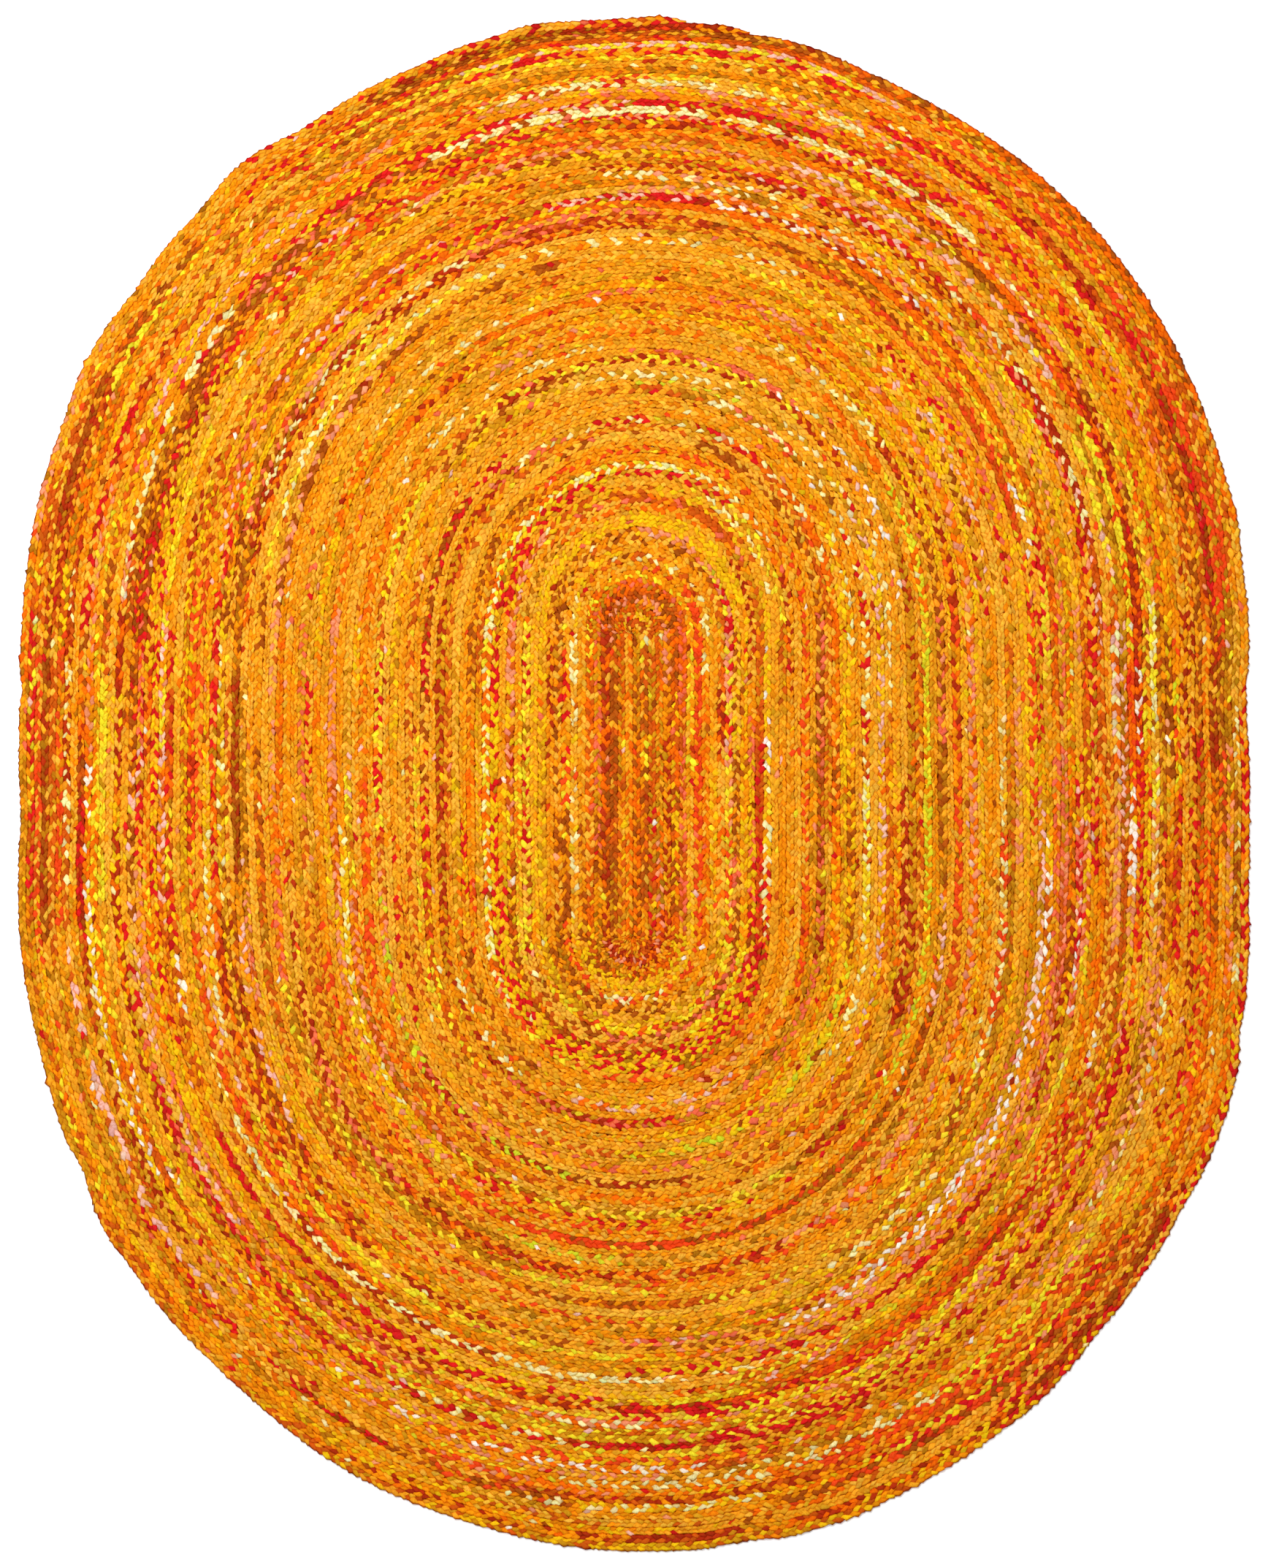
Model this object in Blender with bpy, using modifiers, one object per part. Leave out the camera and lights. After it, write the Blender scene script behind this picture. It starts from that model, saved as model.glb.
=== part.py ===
"""Oval braided rag rug: one long plait coiled round a short middle run and sewn into a flat sheet.

The sheet is a stadium with a slightly wavy outline. It lies flat on the floor, apart from the rim
at the head end (+Y), which curls up. The origin is at the middle of the underside. Metres, +Z up.
"""

import bpy
import numpy as np

# Overall form: every point of the edge is about END_RADIUS from a straight middle run along Y.
MIDDLE_RUN_HALF = 0.2975
END_RADIUS = 1.220
THICKNESS = 0.008
EDGE_ROUNDING = 0.0025
ROUNDING_STEPS = 2

# One lap of the edge starts at the middle of the right side and goes over the head end first.
# Each long side takes this share of a lap, and each round end takes the rest of its half.
SIDE_SHARE = 0.14
SECTORS = 144

# How far the edge lies outside the plain stadium, in millimetres: (place on the lap, outwards).
EDGE_WAVES = (
    (0.00, 0), (0.04, -7), (0.10, -8), (0.15, -5), (0.20, -17), (0.24, 2),
    (0.28, -10), (0.32, -27), (0.36, -18), (0.38, -10), (0.41, -15), (0.45, -6),
    (0.50, -5), (0.56, -4), (0.60, -27), (0.66, -31), (0.71, -17), (0.75, -3),
    (0.78, 8), (0.82, 1), (0.86, -9), (0.90, 5), (0.93, -4), (0.97, -1),
)

# How high the edge curls up, in millimetres: (place on the lap, rise).
RIM_CURL = (
    (0.00, 0), (0.14, 0), (0.18, 6), (0.21, 17), (0.24, 21), (0.28, 19),
    (0.31, 9), (0.35, 0), (0.99, 0),
)
CURL_REACH = 0.055

# Loops of the sheet: the outer ones at a distance in from the edge, where the curl needs them,
# and the inner ones at a share of the way from the middle run to the edge.
LOOPS_IN_FROM_EDGE = (0.0, 0.008, 0.018, 0.030, 0.042, CURL_REACH, 0.120)
LOOPS_BY_SHARE = (0.65, 0.30, 0.02)

RAG_COLOUR = (0.80, 0.27, 0.02, 1.0)
RAG_ROUGHNESS = 0.95

MILLIMETRE = 0.001


def clear_scene():
    for obj in list(bpy.data.objects):
        bpy.data.objects.remove(obj, do_unlink=True)


def round_the_lap(rows, place):
    """The value of a table at each place on the lap, easing from row to row and closing on itself."""
    places = np.array([row[0] for row in rows] + [1.0 + rows[0][0]])
    values = np.array([row[1] for row in rows] + [rows[0][1]], float)
    step = np.searchsorted(places, place, side="right") - 1
    part = (place - places[step]) / (places[step + 1] - places[step])
    ease = (1 - np.cos(np.pi * part)) / 2
    return values[step] + (values[step + 1] - values[step]) * ease


def lap_directions(place):
    """For each place on the lap: the foot on the middle run (its Y) and the outward direction."""
    half_side = SIDE_SHARE / 2
    end_share = 0.5 - SIDE_SHARE
    knots = [0.0, half_side, half_side + end_share, 0.5 + half_side, 1.0 - half_side, 1.0]
    foot = np.interp(
        place,
        knots,
        [0.0, MIDDLE_RUN_HALF, MIDDLE_RUN_HALF, -MIDDLE_RUN_HALF, -MIDDLE_RUN_HALF, 0.0],
    )
    angle = np.interp(place, knots, [0.0, 0.0, np.pi, np.pi, 2 * np.pi, 2 * np.pi])
    return foot, np.cos(angle), np.sin(angle)


def sheet_loops():
    """Points of the underside, loop by loop from the edge to the middle, as one array."""
    place = (np.arange(SECTORS) + 0.5) / SECTORS
    foot, out_x, out_y = lap_directions(place)
    edge = END_RADIUS + MILLIMETRE * round_the_lap(EDGE_WAVES, place)
    rise = MILLIMETRE * round_the_lap(RIM_CURL, place)
    loops = []
    for inward in LOOPS_IN_FROM_EDGE:
        reach = edge - inward
        height = rise * np.clip(1 - inward / CURL_REACH, 0, 1) ** 2
        loops.append(np.stack([out_x * reach, foot + out_y * reach, height], axis=-1))
    for share in LOOPS_BY_SHARE:
        reach = edge * share
        loops.append(np.stack([out_x * reach, foot + out_y * reach, 0 * reach], axis=-1))
    points = np.array(loops)
    middle = (points.min(axis=(0, 1)) + points.max(axis=(0, 1))) / 2
    points[..., :2] -= middle[:2]
    return points


def sheet_faces(loop_count):
    """Quads between neighbouring loops, and one flat face inside the last loop."""
    faces = []
    for loop in range(loop_count - 1):
        for sector in range(SECTORS):
            here = loop * SECTORS + sector
            ahead = loop * SECTORS + (sector + 1) % SECTORS
            faces.append((here, ahead, ahead + SECTORS, here + SECTORS))
    last = (loop_count - 1) * SECTORS
    faces.append(tuple(range(last, last + SECTORS)))
    return faces


def rag_material():
    material = bpy.data.materials.new("cotton_rag")
    material.use_nodes = True
    shader = material.node_tree.nodes["Principled BSDF"]
    shader.inputs["Base Color"].default_value = RAG_COLOUR
    shader.inputs["Roughness"].default_value = RAG_ROUGHNESS
    shader.inputs["Metallic"].default_value = 0.0
    return material


def build_rug():
    points = sheet_loops()
    mesh = bpy.data.meshes.new("braided_rug")
    mesh.from_pydata(points.reshape(-1, 3).tolist(), [], sheet_faces(len(points)))
    mesh.materials.append(rag_material())
    rug = bpy.data.objects.new("braided_rug", mesh)

    collection = bpy.data.collections.new("braided_rug")
    bpy.context.scene.collection.children.link(collection)
    collection.objects.link(rug)

    body = rug.modifiers.new("sheet thickness", "SOLIDIFY")
    body.thickness = THICKNESS
    body.offset = 1.0
    body.use_even_offset = True

    edge = rug.modifiers.new("rounded edge", "BEVEL")
    edge.width = EDGE_ROUNDING
    edge.segments = ROUNDING_STEPS
    edge.limit_method = "ANGLE"
    return rug


clear_scene()
build_rug()
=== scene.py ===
"""Oval braided rag rug, seen from straight above on a white floor.

Two flat plaits of three cotton rags lie side by side. They are coiled together round a short
straight run, outwards and clockwise as seen from above, and sewn edge to edge.

Three measures place everything on the rug:
  place     share of a lap: 0 at the middle of the right side, rising over the head end (+Y) first
  laps      how many laps a plait has made since it left the head end of the middle run
  distance  metres out from the middle run, measured along the cloth
All sizes are in metres unless a name says otherwise, with +Z up.
"""

import bpy
import numpy as np
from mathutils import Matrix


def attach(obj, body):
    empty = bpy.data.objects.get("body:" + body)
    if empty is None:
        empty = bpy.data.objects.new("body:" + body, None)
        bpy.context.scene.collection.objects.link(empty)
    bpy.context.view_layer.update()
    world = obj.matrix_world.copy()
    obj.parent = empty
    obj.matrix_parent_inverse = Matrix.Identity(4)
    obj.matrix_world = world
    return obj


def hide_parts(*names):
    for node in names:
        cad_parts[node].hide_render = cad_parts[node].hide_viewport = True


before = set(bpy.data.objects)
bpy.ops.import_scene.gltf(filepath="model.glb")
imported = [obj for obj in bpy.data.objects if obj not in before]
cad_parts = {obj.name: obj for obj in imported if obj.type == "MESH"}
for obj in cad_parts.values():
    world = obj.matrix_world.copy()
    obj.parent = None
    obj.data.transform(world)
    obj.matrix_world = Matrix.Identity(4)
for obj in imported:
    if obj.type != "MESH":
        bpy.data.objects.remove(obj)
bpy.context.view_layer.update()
MILLIMETRE = 0.001
CENTIMETRE = 0.01

# -------- outline, as in the solid sheet

MIDDLE_RUN_HALF = 0.2975
END_RADIUS = 1.220
# The share of a lap that each long side takes, and how many sectors the solid sheet has.
SIDE_SHARE = 0.14
SECTORS = 144

# How far the edge lies outside the plain stadium, in millimetres: (place, outwards).
EDGE_WAVES = (
    (0.00, 0), (0.04, -7), (0.10, -8), (0.15, -5), (0.20, -17), (0.24, 2),
    (0.28, -10), (0.32, -27), (0.36, -18), (0.38, -10), (0.41, -15), (0.45, -6),
    (0.50, -5), (0.56, -4), (0.60, -27), (0.66, -31), (0.71, -17), (0.75, -3),
    (0.78, 8), (0.82, 1), (0.86, -9), (0.90, 5), (0.93, -4), (0.97, -1),
)

# Small bulges and dents of the edge: middle place, half width as a share of a lap, millimetres.
EDGE_BULGES = (
    (0.065, 0.022, 6), (0.092, 0.008, 5), (0.220, 0.016, 8), (0.252, 0.009, -4), (0.269, 0.010, 8),
    (0.292, 0.012, -6), (0.329, 0.015, 17), (0.359, 0.010, -5), (0.390, 0.014, -6), (0.455, 0.013, -5),
    (0.515, 0.022, -4), (0.616, 0.007, -9), (0.629, 0.008, 7), (0.668, 0.022, -4), (0.771, 0.009, -9),
    (0.792, 0.008, 3), (0.832, 0.010, 3), (0.849, 0.007, -4), (0.877, 0.008, -4), (0.912, 0.007, -7),
    (0.933, 0.012, 4),
)

# How steeply the edge curls up, as a share of the steepest: (place, share).
RIM_CURL = (
    (0.00, 0), (0.14, 0), (0.18, 0.30), (0.21, 0.82), (0.24, 1.0), (0.28, 0.92),
    (0.31, 0.45), (0.35, 0), (0.99, 0),
)
# How far in the curl reaches. It is steepest at CURL_CREST of that, and from there to the edge
# its slope eases to CREST_SLOPE of the steepest.
CURL_REACH = 0.056
CURL_STEEPEST = np.radians(44)
CURL_CREST = 0.35
CREST_SLOPE = 0.30
CURL_STEPS = 24

# -------- the two plaits

LAPS = 41
# The plaits start at the middle of the head end.
START_PLACE = 0.25
PLAIT_WIDTH = END_RADIUS / (2 * LAPS - 1)
PLAIT_HEIGHT = 0.0080
# How far apart the lobes of one side are: (plait widths out from the middle run, metres).
PITCH = ((0, 0.0122), (8, 0.0130), (46, 0.0134), (54, 0.0148), (90, 0.0148))
SAMPLES_PER_LAP = 1600
STRANDS = 3
# The tail of a plait: its length, and how narrow and how thin its end is, as shares.
TAPER = 0.055
TAIL_NARROWEST = 0.12
TAIL_THINNEST = 0.45

# Laps at its start, laps at its end, plait widths out from the middle run at lap nought, and 1
# where the lobes slant back from the middle, or -1 where they slant on.
PLAITS = {
    "mixed": (-0.06, 41.01, 0.0, 1),
    "plain": (-0.185, 40.022, 1.0, -1),
}
# Where on the lap the last round comes to the edge, as the outer plait's tail runs out.
TAIL_PLACE = (0.205, 0.250)

# How far the rounds lie outside an even spiral, in millimetres, at four depths of the coil.
# (place, innermost rounds, inner, middle, outer)
WANDER = (
    (0.00, 0, 2, 2, 2), (0.05, 1, 4, 0, -1), (0.10, 2, 9, -1, -3), (0.15, 4, 20, 12, 0),
    (0.20, 6, 34, 30, 7), (0.25, 7.5, 34, 31, 12), (0.30, 5, 18, 20, -3), (0.35, -3, 2, 4, -16),
    (0.40, -12, -12, -12, -27), (0.45, -16.5, -6, -2, -18), (0.50, -15, -3, 0, -13),
    (0.55, -14, -5, -11, -8), (0.60, -12, -11, -19, -30), (0.65, -10, -11, -13, -34),
    (0.70, -9, -6, -8, -25), (0.75, -7.5, -4, -4, -14), (0.80, -6, -4, 0, -9),
    (0.85, -4, -4, -5, -17), (0.90, -2, -5, -8, -11), (0.95, -1, 0, 2, -3),
)
# How many plait widths out each of those depths is.
WANDER_DEPTHS = (3, 19.5, 43, 69)

# Small unevenness of the seams: waves a lap, change of phase a round, size in plait widths.
SEAM_WOBBLE = (
    (7, 2.1, 0.045), (13, 2.9, 0.045), (29, 1.7, 0.040), (47, 2.4, 0.035), (83, 1.3, 0.030),
    (137, 2.2, 0.040), (199, 1.9, 0.040), (283, 2.6, 0.040), (397, 1.4, 0.040),
)
# The waves grow over the first plait widths out, and fade over the last ones.
WOBBLE_GROWS = 4
WOBBLE_FADES = 3
# The mixed plait is wider than the plain one in the middle rounds, where this grows and fades.
MIXED_SWELL = 0.035
SWELL_GROWS = (16, 20)
SWELL_FADES = (48, 54)

# Lines along a plait, from its inner side over its back to its outer side: which side, share of
# the way from that side to the middle line, height at a lobe's back, height at the crease
# between lobes. The outermost lines lie under the lobes of the plaits beside it.
LINES = (
    (-1, 0.00, 0.50, 0.40),
    (-1, 0.28, 0.94, 0.66),
    (-1, 0.64, 1.06, 0.68),
    (0, 1.00, 0.64, 0.64),
    (1, 0.64, 1.06, 0.68),
    (1, 0.28, 0.94, 0.66),
    (1, 0.00, 0.50, 0.40),
)
# Which of them is the middle line.
MIDDLE = 3
# How far a lobe's end lies behind or ahead of its seam, and how much lobes differ in that.
SLANT = 0.0052
SLANT_SPREAD = 0.38
# How far the middle line swings to and fro, in half widths of the plait.
ZIGZAG = 0.24
# Where a lobe's side end lies, in half widths of the plait: past the seam, under the next plait.
SIDE_AT_BACK = 1.42
SIDE_AT_CREASE = 1.12
# The inner rounds' lobes reach further, by this much at first and less between these depths.
INNER_ROUNDS = (9, 20)
INNER_REACH = 0.12
# How far a crease bows along the plait, and how far lobes stand out past the last round's line.
CREASE_BOW = 0.0012
LOBES_PAST_EDGE = 0.0022
# How far the lobes beside the middle run reach past it: under the other side's, but not at its ends.
PAST_MIDDLE = 0.0045
PAST_MIDDLE_FADES = 0.008
# A plait by itself is wider than its share of the rug, because neighbours' lobes interlock.
# Where the flat underside ends, in half widths of the plait.
UNDER = 0.52
# How far along its lobe each line lies, from the side end (0) to the middle line (1).
ALONG_LOBE = (0.0, 0.28, 0.64, 1.0, 0.64, 0.28, 0.0)

# How much the lobes of a plait differ: from rag to rag, and from lobe to lobe. A lobe's reach
# and its height go with these powers of its size.
RAG_SIZE_SPREAD = 0.13
LOBE_SIZE_SPREAD = 0.13
REACH_POWER = 0.5
HEIGHT_POWER = 0.7
# How far the points of the lines stray, as one spread each: a whole lobe along the plait and one
# point along it, in metres, the middle line and the others across it, in half widths, and the
# height, as a share of the plait's.
LOBE_SHIFT = 0.0008
ALONG_STRAY = 0.0005
MIDDLE_STRAY = 0.06
ACROSS_STRAY = 0.09
HEIGHT_STRAY = 0.03

# Rings of the coil, as laps of both plaits: one piece each, small enough for the library.
RINGS = (-1, 14, 21, 27, 32, 36.5, 42)


def ramp(value, low, high):
    """0 up to low, 1 from high on, and a straight line between them."""
    return np.clip((value - low) / (high - low), 0, 1)


def ease_round(rows, column, place):
    """A table's column at each place on the lap: a half cosine wave from row to row."""
    places = np.array([row[0] for row in rows] + [1.0 + rows[0][0]])
    values = np.array([row[column] for row in rows] + [rows[0][column]], float)
    step = np.clip(np.searchsorted(places, place, side="right") - 1, 0, len(rows) - 1)
    part = (place - places[step]) / (places[step + 1] - places[step])
    return values[step] + (values[step + 1] - values[step]) * (1 - np.cos(np.pi * part)) / 2


def curve_round(rows, column, place):
    """A table's column at each place on the lap: cubic curves from row to row.

    A row's slope is that of the line between its two neighbours.
    """
    places = np.array([row[0] for row in rows])
    values = np.array([row[column] for row in rows], float)
    apart = (np.roll(places, -1) - np.roll(places, 1)) % 1.0
    slopes = (np.roll(values, -1) - np.roll(values, 1)) / apart
    step = np.clip(np.searchsorted(places, place, side="right") - 1, 0, len(rows) - 1)
    after = (step + 1) % len(rows)
    width = (places[after] - places[step]) % 1.0
    u = (place - places[step]) / width
    return (
        (1 + 2 * u) * (1 - u) ** 2 * values[step] + u * (1 - u) ** 2 * width * slopes[step]
        + u * u * (3 - 2 * u) * values[after] + u * u * (u - 1) * width * slopes[after]
    )


def lap_directions(place):
    """For each place: the foot on the middle run (its Y) and the outward direction (X, Y)."""
    half_side = SIDE_SHARE / 2
    head_end = MIDDLE_RUN_HALF
    knots = [0.0, half_side, 0.5 - half_side, 0.5 + half_side, 1.0 - half_side, 1.0]
    foot = np.interp(place, knots, [0.0, head_end, head_end, -head_end, -head_end, 0.0])
    angle = np.interp(place, knots, [0.0, 0.0, np.pi, np.pi, 2 * np.pi, 2 * np.pi])
    return foot, np.cos(angle), np.sin(angle)


def edge_in_waves(place):
    """How far the edge is from the middle run, with its large waves only."""
    return END_RADIUS + MILLIMETRE * ease_round(EDGE_WAVES, 1, place)


def edge_distance(place):
    """How far the rug's edge is from the middle run, seen from above.

    On the large waves sit bulges and dents, each a whole cosine wave from its foot to its foot.
    """
    bulges = 0 * place
    for middle, half_width, size in EDGE_BULGES:
        off = np.clip(np.abs(place - middle) / half_width, 0, 1)
        bulges = bulges + size * (1 + np.cos(np.pi * off)) / 2
    return edge_in_waves(place) + MILLIMETRE * bulges


def outline_middle():
    """The middle of the outline's box, which the solid sheet has at its origin."""
    place = (np.arange(SECTORS) + 0.5) / SECTORS
    foot, out_x, out_y = lap_directions(place)
    reach = edge_in_waves(place)
    x, y = out_x * reach, foot + out_y * reach
    return (x.min() + x.max()) / 2, (y.min() + y.max()) / 2


def curl_slope(inward, steep):
    """The cloth's slope at a distance in from its edge, steepest some way in from it."""
    way_in = ramp(inward, 0, CURL_REACH)
    crest = ramp(way_in, 0, CURL_CREST)
    foot = ramp(way_in, CURL_CREST, 1)
    crest_part = CREST_SLOPE + (1 - CREST_SLOPE) * np.sin(np.pi / 2 * crest) ** 2
    return steep * crest_part * np.cos(np.pi / 2 * foot) ** 2


def curl_run(inward, steep):
    """Run and rise of the cloth from where the curl begins to a distance in from the edge.

    They are the sums of the cosine and the sine of the slope over equal steps.
    """
    step = (CURL_REACH - inward) / CURL_STEPS
    run, rise = 0 * step * steep, 0 * step * steep
    for k in range(CURL_STEPS):
        slope = curl_slope(inward + (k + 0.5) * step, steep)
        run += np.cos(slope) * step
        rise += np.sin(slope) * step
    return run, rise


def steepest_curl(place):
    """How steep the curl gets at each place: the table's share of the steepest of all."""
    return CURL_STEEPEST * ease_round(RIM_CURL, 1, place)


def cloth_edge(place):
    """How far the edge is from the middle run along the cloth: further than seen, where it curls."""
    return edge_distance(place) + CURL_REACH - curl_run(0 * place, steepest_curl(place))[0]


def cloth_distance(widths, place):
    """How far out a line lies that is so many plait widths from the middle run.

    It is the even spiral plus the wander of the rounds, which changes evenly from depth to
    depth. Past the last depth it keeps its share of the way to the edge of the cloth.
    """
    columns = [MILLIMETRE * curve_round(WANDER, 1 + k, place) for k in range(len(WANDER_DEPTHS))]
    wander = columns[0]
    for k in range(1, len(WANDER_DEPTHS)):
        share = ramp(widths, WANDER_DEPTHS[k - 1], WANDER_DEPTHS[k])
        wander = wander + (columns[k] - columns[k - 1]) * share
    deepest = WANDER_DEPTHS[-1]
    inside = PLAIT_WIDTH * np.minimum(widths, deepest) + wander
    past_tail = ramp(place, *TAIL_PLACE)
    outermost = 2 * LAPS - 1 - 2 * place + 2 * past_tail * past_tail * (3 - 2 * past_tail)
    share = np.maximum(widths - deepest, 0) / (outermost - deepest)
    return inside + share * (cloth_edge(place) - LOBES_PAST_EDGE - inside)


def seam_distance(widths, place, swell):
    """How far out a seam lies: its line, plus small waves, plus the swelling of the mixed plait."""
    waves = 0 * widths
    for number, phase, size in SEAM_WOBBLE:
        waves = waves + size * np.cos(2 * np.pi * number * place + phase * widths + number)
    last = 2 * LAPS - 3
    waves = waves * ramp(widths, 0, WOBBLE_GROWS) * (1 - ramp(widths, last - WOBBLE_FADES, last))
    swelling = swell * MIXED_SWELL * ramp(widths, *SWELL_GROWS) * (1 - ramp(widths, *SWELL_FADES))
    return np.maximum(cloth_distance(widths, place) + PLAIT_WIDTH * (waves + swelling), 0)


def plait_seams(first_widths, laps, place):
    """Distances of a plait's inner and outer seam, half a plait width from its centre line.

    Both plaits use the same line for a seam. The mixed plait's seams swell apart.
    """
    centre = 2 * laps + first_widths
    apart = 1 if first_widths == 0 else -1
    return seam_distance(centre - 0.5, place, -apart), seam_distance(centre + 0.5, place, apart)


def place_after(laps):
    """The place on the lap that a plait has reached after so many laps."""
    return (START_PLACE - laps) % 1.0


def plait_course(first_lap, last_lap, first_widths):
    """Laps made by a plait against the length of it, as two lists to look up."""
    laps = np.linspace(first_lap, last_lap, int((last_lap - first_lap) * SAMPLES_PER_LAP))
    place = place_after(laps)
    inner, outer = plait_seams(first_widths, laps, place)
    foot, out_x, out_y = lap_directions(place)
    distance = (inner + outer) / 2
    steps = np.hypot(np.diff(out_x * distance), np.diff(foot + out_y * distance))
    return laps, np.concatenate([[0.0], np.cumsum(steps)])


def on_the_rug(place, distance, height):
    """Points at a distance along the cloth and a height off its underside, as X, Y, Z.

    Height is measured square to the cloth, which is flat up to the curl.
    """
    steep = steepest_curl(place)
    edge = cloth_edge(place)
    inward = np.minimum(edge - distance, CURL_REACH)
    run, rise = curl_run(inward, steep)
    reach = np.where(edge - distance < CURL_REACH, edge - CURL_REACH + run, distance)
    slope = curl_slope(inward, steep)
    foot, out_x, out_y = lap_directions(place)
    reach = reach - height * np.sin(slope)
    middle_x, middle_y = outline_middle()
    return np.stack([
        out_x * reach - middle_x, foot + out_y * reach - middle_y, rise + height * np.cos(slope),
    ], axis=-1)


# -------- rags

# The rags: red, green and blue from 0 to 255, and the shares of each in these mixes.
MIXES = ("plain", "heart", "heart dark", "inner", "middle", "outer", "edge", "redder")
RAGS = {
    "light orange": ((244, 170, 36), 43, 18, 0, 22, 19, 18, 26, 16),
    "marigold": ((245, 150, 14), 14, 17, 5, 18, 15, 15, 21, 17),
    "amber": ((246, 184, 58), 26, 12, 0, 13, 16, 14, 15, 9),
    "golden": ((245, 197, 20), 5, 6, 0, 8, 8, 9, 9, 6),
    "lemon": ((244, 226, 45), 0, 3, 0, 2, 3, 4, 3, 3),
    "tangerine": ((247, 112, 10), 1, 11, 2, 8, 6, 8, 8, 14),
    "tomato": ((242, 76, 28), 0, 1, 0, 3, 3, 4, 3, 6),
    "crimson": ((218, 32, 34), 0, 1, 0, 2, 2, 3, 2, 3),
    "coral": ((242, 112, 80), 0, 3, 0, 2, 2, 3, 0, 0),
    "salmon": ((244, 152, 112), 0, 4, 0, 2, 3, 3, 2, 2),
    "pink": ((246, 190, 176), 0, 0, 0, 0, 2, 2, 0, 0),
    "cream": ((243, 236, 172), 0, 2, 0, 1, 2, 2, 1, 1),
    "white": ((246, 236, 226), 0, 0, 0, 0, 0, 1, 0, 0),
    "rust": ((212, 94, 20), 4, 12, 24, 6, 7, 7, 8, 15),
    "brown": ((172, 84, 18), 0, 6, 32, 4, 3, 3, 4, 6),
    "maroon": ((180, 52, 20), 0, 0, 7, 3, 2, 3, 3, 6),
    "olive": ((212, 148, 22), 6, 12, 20, 7, 7, 8, 9, 7),
    "dark olive": ((188, 122, 18), 1, 0, 20, 2, 2, 2, 3, 2),
    "lime": ((214, 222, 44), 0, 0, 0, 0, 1, 0, 0, 0),
}
RAG_NAMES = tuple(RAGS)

# Up to how many plait widths out, the mix of the mixed plait, that of the plain one, and that
# of the first strand of both, if it has its own.
ZONES = (
    (7, "heart", "heart", "heart dark"),
    (19, "inner", "inner", None),
    (52, "middle", "plain", None),
    (73, "outer", "outer", None),
    (90, "edge", "edge", None),
)
# Stretches of the outer rounds where the plaits hold the redder mix: from place, to place, and
# from and to how many plait widths out.
REDDER = ((0.05, 0.22, 65, 81), (0.42, 0.58, 69, 79), (0.77, 0.86, 66, 77))
# The shortest and the longest rag, as lengths of plait.
RAG_RUN = (0.12, 1.7)
# The chance that a lobe shows the rag beside it, and the chance that it shows any rag.
TWISTED = 0.20
STRAY_RAG = TWISTED / 3
# The chance that a stripe's lobe shows, and how far along the lap its round is looked for.
STRIPE_SHOWS = 0.72
STRIPE_LOOK = 0.004
# How much of the light a rag gives back, of its colour on a screen, how much lobes differ in
# brightness and in each colour, and the least and the most of it.
RAG_LIGHT = 0.83
BRIGHTNESS_SPREAD = 0.10
COLOUR_SPREAD = 0.04
LIGHT_LIMITS = (0.002, 0.95)

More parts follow.
